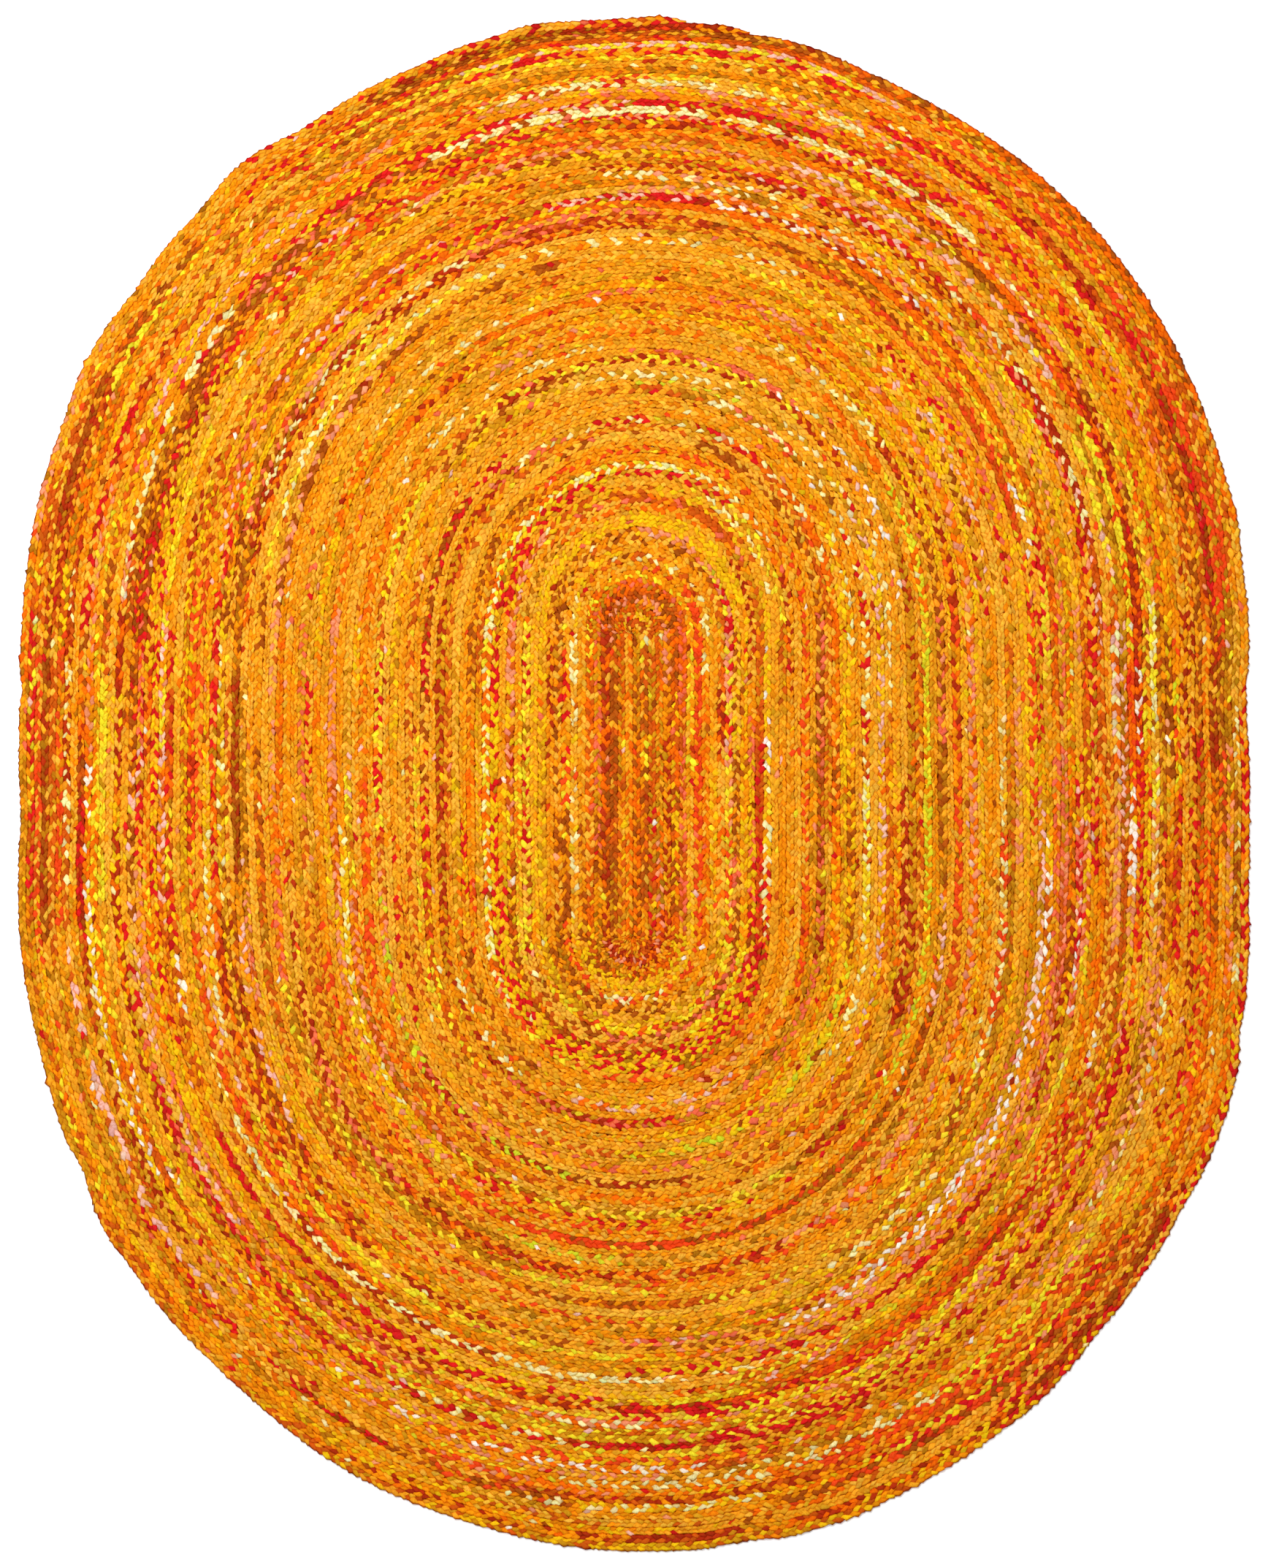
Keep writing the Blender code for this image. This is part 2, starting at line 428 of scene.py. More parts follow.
# Stripes that stand out, as rags that were plaited in there:
# (from place, to place, centimetres out from the middle run, rag, how many of the three strands).
# A later row lies over an earlier one.
STRIPES = (
    (0.43, 0.57, 1.6, "light orange", 2), (0.57, 0.93, 2.4, "light orange", 2), (0.45, 0.60, 4.5, "brown", 2),
    (0.60, 0.92, 4.5, "maroon", 1), (0.20, 0.57, 6.9, "brown", 1), (0.57, 1.00, 8.0, "brown", 1),
    (0.43, 0.57, 11.8, "cream", 1), (0.43, 0.50, 13.0, "crimson", 1), (0.51, 0.57, 13.2, "brown", 2),
    (0.00, 0.04, 1.7, "lemon", 1), (0.92, 0.99, 3.6, "crimson", 1), (0.05, 0.10, 13.9, "cream", 1),
    (0.70, 0.80, 12.9, "cream", 1), (0.92, 1.00, 22.5, "brown", 1), (0.00, 0.05, 22.5, "brown", 1),
    (0.07, 0.31, 15.6, "cream", 1), (0.00, 0.13, 18.5, "crimson", 1), (0.70, 1.00, 18.4, "tomato", 1),
    (0.42, 0.60, 21.0, "crimson", 1), (0.33, 0.52, 23.5, "salmon", 2), (0.00, 0.07, 26.0, "white", 1),
    (0.10, 0.20, 28.7, "cream", 1), (0.93, 1.00, 26.7, "cream", 1), (0.12, 0.30, 27.0, "coral", 1),
    (0.58, 0.72, 35.7, "cream", 1), (0.57, 0.68, 32.9, "brown", 2), (0.51, 0.56, 34.0, "crimson", 1),
    (0.15, 0.22, 39.1, "brown", 2), (0.11, 0.25, 41.9, "cream", 1), (0.17, 0.27, 43.0, "crimson", 1),
    (0.35, 0.43, 40.4, "brown", 2), (0.45, 0.50, 40.9, "brown", 2), (0.47, 0.62, 42.2, "lemon", 1),
    (0.75, 0.92, 42.9, "lime", 1), (0.20, 0.25, 49.4, "lime", 1), (0.55, 0.72, 49.1, "lime", 1),
    (0.52, 0.62, 45.5, "crimson", 1), (0.00, 0.13, 45.5, "crimson", 1), (0.03, 0.12, 50.1, "cream", 1),
    (0.08, 0.20, 53.8, "white", 1), (0.18, 0.25, 55.4, "coral", 2), (0.27, 0.35, 50.5, "brown", 2),
    (0.62, 0.73, 51.7, "rust", 2), (0.50, 0.65, 56.9, "cream", 1), (0.68, 0.85, 57.5, "crimson", 1),
    (0.90, 1.00, 53.1, "maroon", 2), (0.00, 0.10, 63.2, "tomato", 1), (0.92, 1.00, 63.5, "tomato", 2),
    (0.13, 0.20, 62.5, "cream", 1), (0.45, 0.50, 64.7, "crimson", 1), (0.18, 0.27, 68.6, "coral", 1),
    (0.28, 0.35, 65.7, "cream", 1), (0.27, 0.42, 71.5, "brown", 2), (0.43, 0.53, 70.5, "tangerine", 2),
    (0.70, 0.88, 69.9, "tomato", 1), (0.08, 0.17, 71.5, "pink", 1), (0.08, 0.17, 73.4, "crimson", 1),
    (0.75, 0.97, 79.8, "pink", 1), (0.43, 0.57, 81.6, "cream", 1), (0.30, 0.42, 84.3, "pink", 1),
    (0.53, 0.62, 84.8, "pink", 1), (0.40, 0.55, 83.4, "crimson", 1), (0.78, 0.90, 86.6, "crimson", 1),
    (0.62, 0.75, 82.6, "lemon", 2), (0.60, 0.80, 88.0, "cream", 1), (0.92, 1.00, 87.8, "crimson", 1),
    (0.93, 1.00, 87.9, "pink", 1), (0.22, 0.28, 89.6, "dark olive", 2), (0.16, 0.24, 88.5, "cream", 1),
    (0.00, 0.10, 96.0, "pink", 1), (0.00, 0.07, 94.9, "cream", 1), (0.13, 0.21, 96.9, "pink", 2),
    (0.06, 0.12, 97.3, "lemon", 3), (0.17, 0.21, 98.2, "lemon", 2), (0.08, 0.12, 94.2, "lemon", 2),
    (0.10, 0.17, 92.6, "cream", 2), (0.09, 0.14, 91.2, "maroon", 2), (0.20, 0.26, 91.2, "cream", 1),
    (0.42, 0.57, 93.9, "pink", 1), (0.40, 0.60, 95.3, "crimson", 1), (0.62, 0.69, 90.8, "crimson", 2),
    (0.77, 0.84, 93.6, "tomato", 2), (0.43, 0.50, 91.0, "crimson", 1), (0.93, 1.00, 95.2, "salmon", 2),
    (0.02, 0.13, 99.0, "maroon", 2), (0.00, 0.05, 99.4, "white", 1), (0.14, 0.18, 99.0, "brown", 2),
    (0.00, 0.13, 100.6, "brown", 1), (0.00, 0.08, 102.4, "cream", 2), (0.17, 0.30, 103.0, "cream", 3),
    (0.37, 0.43, 96.2, "brown", 2), (0.28, 0.32, 97.4, "crimson", 1), (0.43, 0.57, 100.0, "light orange", 3),
    (0.43, 0.57, 101.8, "maroon", 2), (0.43, 0.57, 98.6, "brown", 2), (0.35, 0.42, 100.6, "cream", 2),
    (0.84, 0.91, 98.9, "crimson", 2), (0.95, 1.00, 98.8, "white", 2), (0.69, 0.74, 100.2, "cream", 1),
    (0.93, 1.00, 101.4, "crimson", 1), (0.75, 0.80, 101.6, "crimson", 2), (0.93, 1.00, 103.2, "cream", 1),
    (0.45, 0.55, 104.5, "lemon", 3), (0.57, 0.67, 103.1, "lemon", 1), (0.67, 0.70, 105.1, "white", 1),
    (0.00, 0.07, 105.5, "brown", 2), (0.13, 0.20, 105.0, "crimson", 1), (0.38, 0.43, 107.8, "crimson", 2),
    (0.00, 0.06, 107.0, "lime", 1), (0.75, 0.82, 107.6, "cream", 1), (0.19, 0.28, 108.4, "cream", 2),
    (0.57, 0.65, 109.4, "pink", 2), (0.50, 0.57, 109.6, "crimson", 2), (0.93, 1.00, 110.0, "crimson", 1),
    (0.79, 0.86, 110.6, "tomato", 2), (0.13, 0.20, 111.4, "crimson", 2), (0.67, 0.70, 111.0, "crimson", 2),
    (0.42, 0.55, 111.8, "cream", 1), (0.43, 0.57, 113.4, "tomato", 2), (0.08, 0.14, 114.4, "crimson", 2),
    (0.80, 0.87, 113.2, "crimson", 1), (0.79, 0.87, 115.4, "tomato", 2), (0.28, 0.33, 113.2, "crimson", 1),
    (0.20, 0.28, 115.1, "crimson", 2), (0.20, 0.28, 116.5, "lemon", 2), (0.19, 0.28, 116.5, "pink", 1),
    (0.19, 0.28, 113.8, "cream", 1), (0.20, 0.28, 112.4, "light orange", 3), (0.35, 0.41, 116.3, "brown", 2),
    (0.00, 0.09, 117.4, "dark olive", 2), (0.00, 0.08, 117.4, "lemon", 1), (0.43, 0.57, 116.7, "brown", 2),
    # The maroon, brown and rust rows just inside the curled rim at the head end are partly the rags' own
    # colour and partly painted shade of the curl.
    (0.19, 0.31, 119.6, "maroon", 2), (0.19, 0.31, 118.7, "brown", 2), (0.19, 0.31, 117.7, "rust", 2),
    (0.17, 0.33, 120.8, "light orange", 3), (0.17, 0.33, 120.8, "crimson", 1), (0.08, 0.13, 118.5, "rust", 2),
    (0.93, 1.00, 118.9, "brown", 2), (0.43, 0.57, 119.5, "crimson", 1), (0.84, 0.88, 118.6, "brown", 2),
    (0.58, 0.72, 118.2, "light orange", 2), (0.61, 0.75, 116.9, "marigold", 2),
    (0.57, 0.65, 114.6, "light orange", 3), (0.34, 0.43, 119.4, "light orange", 2),
    (0.31, 0.43, 118.0, "marigold", 2), (0.93, 1.00, 117.1, "light orange", 2),
    (0.75, 0.83, 118.1, "light orange", 3), (0.75, 0.83, 116.6, "light orange", 2),
    (0.82, 0.91, 108.7, "light orange", 2),
)


def rag_shares(mix):
    """The chance of each rag in a mix, in the order of the table."""
    shares = np.array([row[1 + MIXES.index(mix)] for row in RAGS.values()], float)
    return shares / shares.sum()


def rag_mix(widths, place, which, strand):
    """The mix in a strand of the mixed plait (0) or the plain one (1), at a depth and a place."""
    if any(row[0] < place < row[1] and row[2] < widths < row[3] for row in REDDER):
        return "redder"
    zone = next(row for row in ZONES if widths < row[0])
    return zone[3] if strand == 0 and zone[3] else zone[1 + which]


def rags_of_strand(rng, length, lobe_at, widths_at, first_widths, which, strand):
    """The rag of each lobe of a strand, one rag joined on to another, and how thick the rag is.

    A rag's length is the shortest times the longest over the shortest, to a power that is drawn
    evenly from 0 to 1.
    """
    rags = np.zeros(len(lobe_at), int)
    thickness = np.ones(len(lobe_at))
    at = 0.0
    while at < length:
        until = at + RAG_RUN[0] * (RAG_RUN[1] / RAG_RUN[0]) ** rng.random()
        inside = (lobe_at >= at) & (lobe_at < until)
        widths = widths_at[inside].mean() if inside.any() else 0
        mix = rag_mix(widths, place_after((widths - first_widths) / 2), which, strand)
        rags[inside] = rng.choice(len(RAG_NAMES), p=rag_shares(mix))
        thickness[inside] = np.exp(rng.normal(0, RAG_SIZE_SPREAD))
        at = until
    return rags, thickness


def round_nearest(plaits, place, distance):
    """The plait, and the lobe of it, that lies nearest to a distance out at a place."""
    best = None
    for plait in plaits:
        off = np.abs((place_after(plait["laps"]) - place + 0.5) % 1.0 - 0.5)
        miss = np.where(off < STRIPE_LOOK, np.abs(plait["seen"] - distance), np.inf)
        nearest = int(miss.argmin())
        if best is None or miss[nearest] < best[0]:
            best = (miss[nearest], plait, nearest)
    return best[1:]


def lay_stripes(rng, plaits):
    """Gives each stripe's stretch its rag: the round that passes nearest halfway along it."""
    for row, (start, end, out, rag, strands) in enumerate(STRIPES):
        half = (end - start) / 2
        plait, nearest = round_nearest(plaits, start + half, CENTIMETRE * out)
        near = np.abs(plait["laps"] - plait["laps"][nearest]) <= half
        number = np.arange(len(plait["rags"]))
        shows = rng.random(len(number)) < STRIPE_SHOWS
        mine = (number + row) % STRANDS < strands
        plait["rags"][near & shows & mine] = RAG_NAMES.index(rag)


def twist_lobes(rng, rags):
    """Here and there a lobe shows the rag beside it, or any other rag, where the plait twists."""
    beside = np.roll(rags, 1)
    chance = rng.random(len(rags))
    other = rng.choice(len(RAG_NAMES), size=len(rags), p=rag_shares("outer"))
    return np.where(chance < TWISTED, beside, np.where(chance > 1 - STRAY_RAG, other, rags))


def linear(colour):
    """Red, green and blue from 0 to 255 to amounts of light, by the usual curve of screens."""
    c = np.asarray(colour, float) / 255
    return np.where(c < 0.04045, c / 12.92, ((c + 0.055) / 1.055) ** 2.4)


def lobe_colours(rng, rags):
    """Each lobe's colour as amounts of light, a little brighter or duller than its rag.

    The fourth number tells lobes apart: the material takes their own folds from it.
    """
    count = len(rags)
    light = RAG_LIGHT * linear([row[0] for row in RAGS.values()])[rags]
    light = light * rng.normal(1.0, BRIGHTNESS_SPREAD, (count, 1))
    light = light * rng.normal(1.0, COLOUR_SPREAD, (count, 3))
    return np.concatenate([light.clip(*LIGHT_LIMITS), rng.random((count, 1))], axis=1)


# -------- plait meshes


def lobe_stations(laps, along, first_widths):
    """Lengths along a plait, half a pitch apart, that take in a whole number of lobes."""
    pitch = np.interp(2 * laps + first_widths, *zip(*PITCH))
    passed = np.concatenate([[0.0], np.cumsum(2 * np.diff(along) / pitch[1:])])
    stations = 2 * int(passed[-1] / 2)
    return np.interp(np.arange(stations + 1), passed * (stations / passed[-1]), along)


def build_plait(rng, which, first_lap, last_lap, first_widths, slant):
    """All of one plait as arrays: points of the lines, and the rag, laps and length at each lobe.

    Stations follow each other along the plait, half a pitch apart on average and further apart
    where the lobes are bigger. Odd ones are the backs of the inner lobes and the creases of the
    outer ones, and even ones the other way round. The middle line swings to and fro, so that
    each lobe reaches over it, and a lobe's ends lie behind or ahead of its seam by the slant.
    """
    laps, along = plait_course(first_lap, last_lap, first_widths)
    length = along[-1]
    even_spacing = lobe_stations(laps, along, first_widths)
    count = len(even_spacing)
    number = np.arange(count)

    # Rags, one lobe at each station.
    widths = 2 * np.interp(even_spacing, along, laps) + first_widths
    rags = np.zeros(count, int)
    size = np.ones(count)
    for strand in range(STRANDS):
        mine = number % STRANDS == strand
        rags[mine], size[mine] = rags_of_strand(
            rng, length, even_spacing[mine], widths[mine], first_widths, which, strand)
    size = size * np.exp(rng.normal(0, LOBE_SIZE_SPREAD, count))
    base = np.concatenate([[0.0], np.cumsum(np.diff(even_spacing) * (size[1:] + size[:-1]))])
    base = base * (length / base[-1])

    odd = number % 2 == 1
    shift = rng.normal(0.0, LOBE_SHIFT, count)
    lean = SLANT * slant * rng.normal(1.0, SLANT_SPREAD, count)
    middle = np.where(odd, ZIGZAG, -ZIGZAG) * size + rng.normal(0, MIDDLE_STRAY, count)
    inner = 1 - ramp(widths, *INNER_ROUNDS)
    reach = (SIDE_AT_BACK + INNER_REACH * inner) * size ** REACH_POWER
    points, heights = [], []
    for line, (side, share, back, crease) in enumerate(LINES):
        is_back = odd if line < MIDDLE else ~odd
        seam = side * np.where(is_back, reach, SIDE_AT_CREASE)
        offset = seam + (middle - seam) * share
        height = np.where(is_back, back * size ** HEIGHT_POWER, crease)
        height = height + rng.normal(0, HEIGHT_STRAY, count)
        bow = np.where(is_back, 0.0, slant * CREASE_BOW * np.sin(np.pi * share))
        s = base + shift - lean * (1 - share) - bow + rng.normal(0, ALONG_STRAY, count)
        if line != MIDDLE:
            offset = offset + rng.normal(0, ACROSS_STRAY, count)
        points.append(place_line(s, offset, height, laps, along, first_widths))
        heights.append(height)
    for across in (-UNDER, UNDER):
        s = base[::2] - slant * SLANT * UNDER
        flat = np.zeros(len(s))
        points.append(place_line(s, flat + across, flat, laps, along, first_widths))
        heights.append(flat)

    x, y = points[MIDDLE][:, 0], points[MIDDLE][:, 1]
    return {
        "points": points, "heights": heights, "rags": rags,
        "laps": np.interp(base, along, laps), "along": base,
        # how far out from the middle run each lobe is, seen from above
        "seen": np.hypot(x, np.maximum(np.abs(y) - MIDDLE_RUN_HALF, 0)),
    }


def place_line(s, offset, height, laps, along, first_widths):
    """Points of one line of a plait, at lengths s along it and at a share of its half width.

    The tail narrows and thins as the square root of what is left of it.
    """
    s = np.clip(s, 0, along[-1])
    lap = np.interp(s, along, laps)
    place = place_after(lap)
    inner, outer = plait_seams(first_widths, lap, place)
    taper = np.clip((along[-1] - s) / TAPER, TAIL_NARROWEST, 1) ** 0.5
    # The middles of the long sides lie at nought and at a half.
    off_side = np.abs((place + 0.25) % 0.5 - 0.25)
    on_side = 1 - ramp(off_side, SIDE_SHARE / 2 - PAST_MIDDLE_FADES, SIDE_SHARE / 2)
    distance = inner + (outer - inner) * (offset + 1) / 2 * taper
    distance = np.maximum(distance, -PAST_MIDDLE * on_side)
    thinning = TAIL_THINNEST + (1 - TAIL_THINNEST) * taper
    return on_the_rug(place, distance, PLAIT_HEIGHT * height * thinning)


def top_faces(first, last):
    """Quads between the lines of a plait, with the lobe of each and where its corners are on it.

    Points are numbered line by line. A lobe runs from crease to crease: its first half rises
    to its back, and u runs along it, from its side end to the middle line.
    """
    n = last - first + 1
    station = np.arange(n - 1)
    absolute = station + first
    corners, lobes, places = [], [], []
    for line in range(len(LINES) - 1):
        a = line * n + station
        corners.append(np.stack([a, a + 1, a + 1 + n, a + n], axis=1))
        after_crease = absolute % 2 == (0 if line < MIDDLE else 1)
        lobes.append(np.where(after_crease, absolute + 1, absolute))
        v0 = np.where(after_crease, 0.0, 0.5)
        v1 = v0 + 0.5
        u0, u1 = np.full(n - 1, ALONG_LOBE[line]), np.full(n - 1, ALONG_LOBE[line + 1])
        places.append(np.stack([u0, v0, u0, v1, u1, v1, u1, v0], axis=1).reshape(-1, 4, 2))
    return np.concatenate(corners), np.concatenate(lobes), np.concatenate(places)


def under_faces(first, last):
    """The flat underside's quads and the sides' triangles, with the lobe of each.

    The two under-lines come after the others and have a point at every other station.
    """
    n = last - first + 1
    half = n // 2 + 1
    k = np.arange(half - 1)
    inner, outer = len(LINES) * n + k, len(LINES) * n + half + k
    quads = np.stack([inner + 1, inner, outer, outer + 1], axis=1)
    e, f = 2 * k, 2 * k + (len(LINES) - 1) * n
    triangles = [
        np.stack([e + 1, e, inner], axis=1),
        np.stack([e + 1, inner, inner + 1], axis=1),
        np.stack([e + 2, e + 1, inner + 1], axis=1),
        np.stack([f, f + 1, outer], axis=1),
        np.stack([f + 1, outer + 1, outer], axis=1),
        np.stack([f + 1, f + 2, outer + 1], axis=1),
    ]
    inner_lobe, outer_lobe = first + 2 * k + 1, first + 2 * k
    lobes = [inner_lobe] * 3 + [outer_lobe] * 2 + [outer_lobe + 2]
    return quads, inner_lobe, np.concatenate(triangles), np.concatenate(lobes)


def end_faces(first, last):
    """The two ends of a stretch of plait, each one face round its section."""
    n = last - first + 1
    half = n // 2 + 1
    under = len(LINES) * n
    start = [line * n for line in range(len(LINES))] + [under + half, under]
    end = [line * n + n - 1 for line in range(len(LINES))] + [under + 2 * half - 1, under + half - 1]
    return np.array([start]), np.array([end[::-1]])


def face_groups(first, last):
    """All faces of a stretch of plait: their corners, their lobes and their corners' UVs."""
    quads, quad_lobes, quad_uv = top_faces(first, last)
    under_quads, under_lobes, triangles, triangle_lobes = under_faces(first, last)
    start, end = end_faces(first, last)
    plain = [
        (under_quads, under_lobes), (triangles, triangle_lobes),
        (start, np.array([first])), (end, np.array([last])),
    ]
    return [(quads, quad_lobes, quad_uv)] + [
        (corners, lobes, np.full(corners.shape + (2,), 0.5)) for corners, lobes in plain
    ]


def crease_edges(first, n):
    """Pairs of points along each crease and along the middle line, where the shading breaks."""
    station = np.arange(n)
    edges = []
    for line in range(len(LINES) - 1):
        at = station[(station + first) % 2 == (0 if line < MIDDLE else 1)]
        edges.append(np.stack([line * n + at, (line + 1) * n + at], axis=1))
    at = station[:-1]
    edges.append(np.stack([MIDDLE * n + at, MIDDLE * n + at + 1], axis=1))
    return np.concatenate(edges)


def mesh_of_faces(name, points, corners, sizes):
    """A smooth mesh from points, all faces' corners in one row, and each face's corner count."""
    mesh = bpy.data.meshes.new(name)
    mesh.vertices.add(len(points))
    mesh.vertices.foreach_set("co", points.astype(np.float32).ravel())
    mesh.loops.add(len(corners))
    mesh.loops.foreach_set("vertex_index", corners.astype(np.int32))
    mesh.polygons.add(len(sizes))
    mesh.polygons.foreach_set("loop_start", (np.cumsum(sizes) - sizes).astype(np.int32))
    mesh.update(calc_edges=True)
    mesh.polygons.foreach_set("use_smooth", np.ones(len(sizes), bool))
    return mesh


def pair_numbers(pairs, count):
    """One whole number for each pair of points, whichever of the two comes first."""
    pairs = np.sort(pairs, axis=1)
    return pairs[:, 0].astype(np.int64) * count + pairs[:, 1]


def keep_sharp(mesh, wanted):
    """Marks the mesh's edges between the wanted pairs of points as sharp."""
    pairs = np.zeros(2 * len(mesh.edges), np.int32)
    mesh.edges.foreach_get("vertices", pairs)
    count = len(mesh.vertices)
    sharp = np.isin(pair_numbers(pairs.reshape(-1, 2), count), pair_numbers(wanted, count))
    marks = mesh.attributes.new("sharp_edge", "BOOLEAN", "EDGE")
    marks.data.foreach_set("value", sharp)


def build_ring(name, from_lap, to_lap, plaits):
    """One ring of the coil as an object, the stretch of both plaits between two laps.

    Returns it with the number of rounds in it and the length of plait.
    """
    points, heights, corners, sizes, colours, uvs, creases = [], [], [], [], [], [], []
    count = 0
    length = 0.0
    for plait in plaits:
        inside = np.nonzero((plait["laps"] >= from_lap) & (plait["laps"] <= to_lap))[0]
        first = 2 * (inside[0] // 2)
        last = min(2 * ((inside[-1] + 1) // 2), len(plait["laps"]) - 1)
        length += plait["along"][last] - plait["along"][first]
        for face_corners, lobes, uv in face_groups(first, last):
            corners.append(face_corners.ravel() + count)
            sizes.append(np.full(len(face_corners), face_corners.shape[1]))
            colours.append(plait["colours"][lobes.clip(0, len(plait["colours"]) - 1)])
            uvs.append(uv.reshape(-1, 2))
        creases.append(crease_edges(first, last - first + 1) + count)
        for line in range(len(LINES) + 2):
            step = 1 if line < len(LINES) else 2
            cut = slice(first // step, last // step + 1)
            points.append(plait["points"][line][cut])
            heights.append(plait["heights"][line][cut])
            count += last // step - first // step + 1

    mesh = mesh_of_faces(name, *map(np.concatenate, (points, corners, sizes)))
    keep_sharp(mesh, np.concatenate(creases))
    layer = mesh.uv_layers.new(name="lobe")
    layer.uv.foreach_set("vector", np.concatenate(uvs).astype(np.float32).ravel())
    rag = mesh.attributes.new("rag", "FLOAT_COLOR", "FACE")
    rag.data.foreach_set("color", np.concatenate(colours).astype(np.float32).ravel())
    # Each point's height, which the material reads to paint shade where the plait is low.
    height = mesh.attributes.new("height", "FLOAT", "POINT")
    height.data.foreach_set("value", np.concatenate(heights).astype(np.float32))

    ring = bpy.data.objects.new(name, mesh)
    bpy.context.scene.collection.objects.link(ring)
    rounds = 2 * (min(to_lap, LAPS) - max(from_lap, 0))
    return ring, rounds, length


# -------- material

# Noises over the cloth: waves a metre, detail, roughness.
NOISES = {
    "patchy": (170, 2.0, 0.6),
    "grain": (900, 2.0, 0.6),
    "bend": (330, 1.0, 0.6),
    "fibre": (620, 1.0, 0.5),
}
# Folds that run along a lobe: their waves over it, how far they bend, and how far lobes differ.
FOLDS_OVER_LOBE = 19.0
FOLD_BEND = 9.0
FOLD_SHIFT = 40.0
# Which lobes have deep folds: where in its turn a lobe's number counts, and the least depth.
RUCHED_TURNS = 7.0
RUCHED_FROM = (0.55, 0.95)
RUCHED_LEAST = 0.35
# A lobe's cushion, which shapes the painted shade that rounds it: the middle and the half length of it, along
# the lobe and over it.
CUSHION_ALONG = (0.62, 0.44)
CUSHION_OVER = (0.5, 0.5)
CUSHION_POWER = 3.0
# How far the bend noise shifts a rim, and the share of that by which it shifts the lowness.
UNEVEN = 0.8
UNEVEN_HEIGHT = -0.2
# How ragged the seams are, by the unevenness and by the patchy noise.
SEAM_UNEVEN = 0.35
SEAM_PATCHY = 0.5
# Holes in the knitted cloth: cells a metre and how far they stray from a grid.
HOLE_CELLS = 320
HOLE_STRAY = 0.9

# Dark places of the cloth: where each begins and is complete, on its own measure, and its most. Some are the
# cloth's own tone, most are painted shade.
FADES = {
    "patch": (0.7, 0.3, 1.0),
    # Painted shade in the troughs of the folds along a lobe.
    "fold": (-0.2, -1.0, 0.75),
    "grain": (0.55, 0.35, 0.5),
    # Painted shade that rounds each lobe towards its rim and where the plait is low.
    "shade by rim": (0.05, 1.20, 1.0),
    "shade by lowness": (0.06, 0.36, 1.0),
    # Painted shade in the creases between lobes, past a lobe's rim and where the plait is low.
    "crease shade by rim": (0.75, 1.45, 1.0),
    "crease shade by lowness": (0.24, 0.46, 1.0),
    # Painted shade in the seam between two plaits, where their lobes overlap.
    "seam": (0.32, 0.12, 1.0),
    # Frayed fibres and painted shade at the seam: darkening near a lobe's side end, broken up by a fibre
    # noise.
    "fray along lobe": (0.50, 0.20, 1.0),
    "fray by fibre": (0.56, 0.44, 1.0),
    # Painted shade in the pockets beyond a lobe's rim, where the strands dive under.
    "pocket_shade": (1.05, 1.75, 1.0),
    "hole": (0.22, 0.06, 0.6),
}
# What each dark place multiplies the rag's colour by: red, green and blue. Patch, grain and hole are the
# cloth's own; fold, shade, crease, seam, fray and pocket are painted shade, the fray partly fibres too.
DARKER = {
    "patch": (0.88, 0.82, 0.74, 1),
    "fold": (0.78, 0.62, 0.48, 1),
    "grain": (0.86, 0.80, 0.74, 1),
    "shade": (0.94, 0.84, 0.66, 1),
    "crease": (0.88, 0.72, 0.46, 1),
    "seam": (0.90, 0.74, 0.50, 1),
    "fray_and_seam_shade": (0.84, 0.66, 0.46, 1),
    "pocket_shade": (0.70, 0.52, 0.38, 1),
    "hole": (0.66, 0.46, 0.30, 1),
}
# How much each relief of the cloth stands out in the bump, and the bump's strength and depth.
RELIEF = {"fold": 0.25, "grain": 0.35, "patchy": 0.5, "hole": -0.5, "crease": -1.0}
BUMP_STRENGTH = 0.5
BUMP_DEPTH = 0.0009
SHINE = 0.02
# The least and the most roughness, and where the patchy noise reaches them.
ROUGHNESS = (0.82, 0.96)
ROUGHNESS_FROM = (0.2, 0.8)


